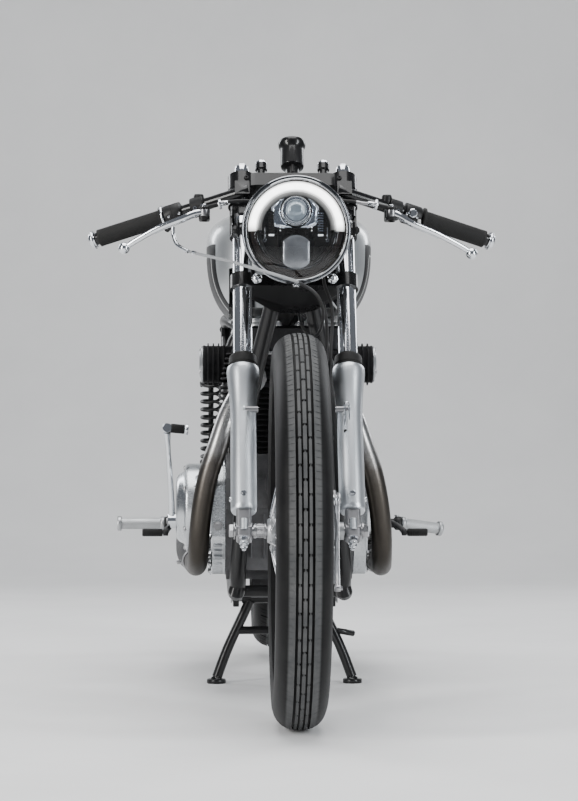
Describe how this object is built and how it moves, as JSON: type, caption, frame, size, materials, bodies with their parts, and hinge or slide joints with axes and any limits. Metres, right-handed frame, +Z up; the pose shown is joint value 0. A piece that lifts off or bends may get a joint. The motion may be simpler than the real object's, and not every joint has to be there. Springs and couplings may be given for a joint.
{
  "type": "cafe racer motorcycle",
  "caption": "Air-cooled twin motorcycle with spoked wheels, telescopic fork, low clip-on bars, round headlamp and humped single seat, on its centre stand.",
  "frame": {"origin": "on the floor, under the middle of the machine's length and on its centre plane", "axes": "-Y is forward, +X is the machine's left, +Z is up; the floor is Z = 0"},
  "size_m": [0.7366, 2.062, 1.029],
  "materials": {
    "frame_black": "gloss black stove enamel",
    "chrome": "polished chrome plate",
    "steel": "zinc plated steel",
    "chain_steel": "oiled steel",
    "alloy": "satin cast aluminium",
    "engine_dark": "dark sandblasted aluminium",
    "polished_alloy": "hand polished aluminium",
    "filter_black": "black gauze and rubber",
    "pipe_steel": "polished steel, heat tinted",
    "black_satin": "satin black",
    "alloy_dark": "anodised",
    "silver_paint": "silver grey metallic under clear coat",
    "seat_leather": "black upholstery",
    "red_lens": "moulded lens",
    "cable_black": "cable sheath",
    "rubber_black": "moulded rubber",
    "black_gloss": "gloss black",
    "lamp_inner": "dark lamp housing with lenses",
    "clear_glass": "clear lens",
    "tyre": "matt black rubber"
  },
  "bodies": {
    "chassis": {"main_frame": "frame_black", "swingarm": "frame_black", "rear_shocks": "chrome", "rear_axle": "steel", "drive_chain": "chain_steel", "rear_brake_plate": "alloy", "crankcase": "alloy", "cylinder_block": "engine_dark", "cylinder_head": "engine_dark", "clutch_cover": "polished_alloy", "generator_cover": "polished_alloy", "carburettors": "alloy", "air_filters": "filter_black", "exhaust_headers": "pipe_steel", "silencers": "black_satin", "kickstart_lever": "chrome", "footrest_right": "alloy_dark", "footrest_left": "alloy_dark", "fuel_tank": "silver_paint", "fuel_cap": "chrome", "seat_pad": "seat_leather", "seat_cowl": "silver_paint", "tail_light": "red_lens", "plate_bracket": "black_satin", "battery_box": "black_satin", "engine_cables": "cable_black"},
    "steering": {"fork_lowers": "polished_alloy", "fork_stanchions": "chrome", "dust_covers": "rubber_black", "lower_yoke": "black_gloss", "upper_yoke": "black_gloss", "headlight_brackets": "black_gloss", "headlight_shell": "black_gloss", "headlight_bezel": "chrome", "headlight_unit": "lamp_inner", "headlight_glass": "clear_glass", "speedometer": "black_gloss", "handlebars": "black_satin", "handlebar_grips": "rubber_black", "lever_perches": "black_satin", "hand_levers": "polished_alloy", "front_axle": "steel", "front_brake_plate": "alloy", "control_cables": "cable_black"},
    "front_wheel": {"front_tyre": "tyre", "front_rim": "chrome", "front_hub": "alloy"},
    "rear_wheel": {"rear_tyre": "tyre", "rear_rim": "chrome", "rear_hub": "alloy", "rear_sprocket": "steel"},
    "stand": {"centre_stand": "frame_black"}
  },
  "joints": [
    {"name": "steering", "type": "hinge", "parent": "chassis", "child": "steering", "pos_m": [0, -0.652, 0.305], "axis": [0, 0.454, 0.891], "range_deg": [-28, 28]},
    {"name": "front_wheel_spin", "type": "hinge", "parent": "steering", "child": "front_wheel", "pos_m": [0, -0.701, 0.33], "axis": [1, 0, 0], "range_deg": [-180, 180]},
    {"name": "rear_wheel_spin", "type": "hinge", "parent": "chassis", "child": "rear_wheel", "pos_m": [0, 0.709, 0.344], "axis": [1, 0, 0], "range_deg": [-180, 180]},
    {"name": "centre_stand", "type": "hinge", "parent": "chassis", "child": "stand", "pos_m": [0, 0.12, 0.168], "axis": [1, 0, 0], "range_deg": [0, 78]}
  ]
}
